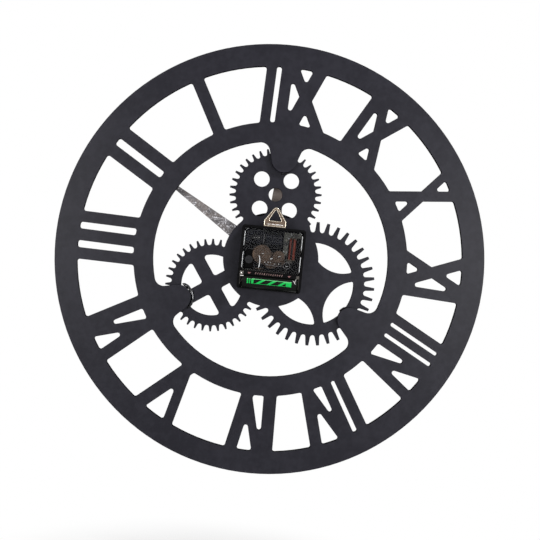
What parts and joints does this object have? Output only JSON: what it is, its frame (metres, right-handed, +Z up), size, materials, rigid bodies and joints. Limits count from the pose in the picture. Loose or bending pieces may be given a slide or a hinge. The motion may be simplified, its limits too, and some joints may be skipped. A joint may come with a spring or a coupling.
{
  "type": "skeleton wall clock",
  "caption": "Black skeleton wall clock: a ring of open Roman numerals glued to a plate of decorative gears, metal hands in front and a battery quartz movement with a hanger on the back.",
  "frame": {"origin": "on the arbor's axis, in the wall plane that the movement's rear face lies in", "axes": "+Z up as the clock hangs, +Y out of the clock's back towards the wall, -Y towards the viewer of the dial, +X to the right as seen from the front"},
  "size_m": [0.38, 0.0376, 0.38],
  "materials": {
    "black_board": "black satin paint on fibreboard",
    "glue": "glossy black hot glue",
    "rubber": "matt",
    "brass": "turned",
    "black_plastic": "moulded, fine grain",
    "smoked_cover": "clear smoked styrene",
    "tan_plastic": "moulded",
    "spring_steel": "bright",
    "knob_plastic": "moulded",
    "nickel": "nickel-plated",
    "copper_wire": "enamelled wire",
    "board": "laminate",
    "chip_resin": "sealing resin",
    "cell_jacket": "printed jacket, plain bands",
    "hanger_metal": "pressed, yellow zinc",
    "hand_metal": "bare, scratched"
  },
  "bodies": {
    "clock": {"dial_ring": "black_board", "gear_plate": "black_board", "centre_disc": "black_board", "glue_beads": "glue", "rubber_gasket": "rubber", "washer": "brass", "bush_nut": "brass", "movement_case": "black_plastic", "movement_cover": "smoked_cover", "train_plate": "black_plastic", "train_bridge": "black_plastic", "stator": "nickel", "coil_spool": "tan_plastic", "coil_winding": "copper_wire", "circuit_board": "board", "chip": "chip_resin", "quartz_crystal": "nickel", "negative_contact": "nickel", "positive_contact": "nickel", "hanger": "hanger_metal"},
    "minute_hand": {"minute_arbor": "brass", "clutch_washer": "spring_steel", "minute_hand": "hand_metal", "hand_nut": "brass"},
    "hour_hand": {"hour_wheel": "tan_plastic", "hour_hand": "hand_metal"},
    "minute_wheel": {"minute_wheel": "tan_plastic"},
    "setting_knob": {"setting_knob": "knob_plastic"},
    "rotor": {"rotor": "tan_plastic"},
    "intermediate_wheel": {"intermediate_wheel": "tan_plastic"},
    "seconds_wheel": {"seconds_wheel": "tan_plastic"},
    "third_wheel": {"third_wheel": "tan_plastic"},
    "centre_wheel": {"centre_wheel": "tan_plastic"},
    "battery": {"battery": "cell_jacket"}
  },
  "joints": [
    {"name": "minute_hand_turn", "type": "hinge", "parent": "clock", "child": "minute_hand", "pos_m": [0, -0.0345, 0], "axis": [0, 1, 0], "continuous": true},
    {"name": "hour_hand_turn", "type": "hinge", "parent": "clock", "child": "hour_hand", "pos_m": [0, -0.0315, 0], "axis": [0, 1, 0], "continuous": true},
    {"name": "minute_wheel_turn", "type": "hinge", "parent": "clock", "child": "minute_wheel", "pos_m": [0.00914, -0.0119, -0.00295], "axis": [0, 1, 0], "continuous": true},
    {"name": "setting_knob_turn", "type": "hinge", "parent": "clock", "child": "setting_knob", "pos_m": [0.0195, -0.0021, -0.0021], "axis": [0, 1, 0], "continuous": true},
    {"name": "rotor_turn", "type": "hinge", "parent": "clock", "child": "rotor", "pos_m": [-0.01066, -0.0077, -0.0018], "axis": [0, 1, 0], "continuous": true},
    {"name": "intermediate_wheel_turn", "type": "hinge", "parent": "clock", "child": "intermediate_wheel", "pos_m": [-0.0062, -0.0021, 0.00266], "axis": [0, 1, 0], "continuous": true},
    {"name": "seconds_wheel_turn", "type": "hinge", "parent": "clock", "child": "seconds_wheel", "pos_m": [0, -0.0049, 0], "axis": [0, 1, 0], "continuous": true},
    {"name": "third_wheel_turn", "type": "hinge", "parent": "clock", "child": "third_wheel", "pos_m": [0.00867, -0.0032, 0.0035], "axis": [0, 1, 0], "continuous": true},
    {"name": "centre_wheel_turn", "type": "hinge", "parent": "clock", "child": "centre_wheel", "pos_m": [0, -0.0087, 0], "axis": [0, 1, 0], "continuous": true},
    {"name": "battery_slide", "type": "slide", "parent": "clock", "child": "battery", "axis": [0, 0.866, -0.5], "range_m": [0, 0.016]}
  ],
  "couplings": [
    {"joint": "minute_wheel_turn", "follows": "minute_hand_turn", "ratio": -0.33333},
    {"joint": "hour_hand_turn", "follows": "minute_hand_turn", "ratio": 0.083333},
    {"joint": "setting_knob_turn", "follows": "minute_hand_turn", "ratio": 0.75},
    {"joint": "intermediate_wheel_turn", "follows": "rotor_turn", "ratio": -0.2},
    {"joint": "seconds_wheel_turn", "follows": "rotor_turn", "ratio": 0.033333},
    {"joint": "third_wheel_turn", "follows": "rotor_turn", "ratio": -0.0044444},
    {"joint": "centre_wheel_turn", "follows": "rotor_turn", "ratio": 0.00055556}
  ]
}
